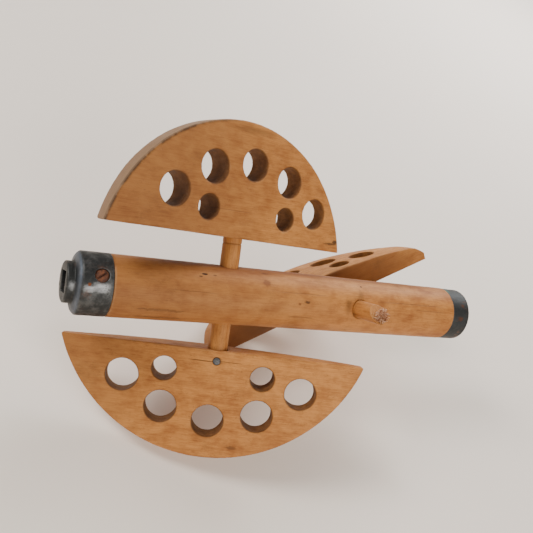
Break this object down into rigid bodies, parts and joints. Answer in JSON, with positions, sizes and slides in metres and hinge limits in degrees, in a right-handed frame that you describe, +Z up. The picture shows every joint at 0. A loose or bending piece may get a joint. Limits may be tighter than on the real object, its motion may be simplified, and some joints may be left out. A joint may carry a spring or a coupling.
{
  "type": "churn rotor",
  "caption": "Wooden churn rotor: a round shaft in cast end caps, crossed by dowels that carry perforated half-round paddles, one arm broken off.",
  "frame": {"origin": "on the shaft axis, in the plane of the crank cap's shoulder where its journal starts", "axes": "+X along the shaft from the crank end to the pivot end; +Z up as the rotor lies on its lower and rear paddles; -Y towards the lower paddle"},
  "size_m": [0.3576, 0.2078, 0.2091],
  "materials": {
    "shaft_wood": "worn, hand-polished, brown with use",
    "paddle_wood": "worn matte beech with dark edges",
    "dowel_wood": "worn matte",
    "cast_cap": "dark patina with worn bright bands and rust spots",
    "rusty_steel": "rusty",
    "pin_steel": "dull grey, lightly rusted"
  },
  "bodies": {
    "root": {"shaft": "shaft_wood", "crank_cap": "cast_cap", "pivot_cap": "cast_cap", "crank_cap_screw": "rusty_steel", "dowel_first": "dowel_wood", "dowel_second": "dowel_wood", "paddle_upper": "paddle_wood", "paddle_lower": "paddle_wood", "paddle_rear": "paddle_wood", "paddle_pin_upper": "pin_steel", "paddle_pin_lower": "pin_steel", "paddle_pin_rear": "pin_steel"}
  },
  "joints": []
}
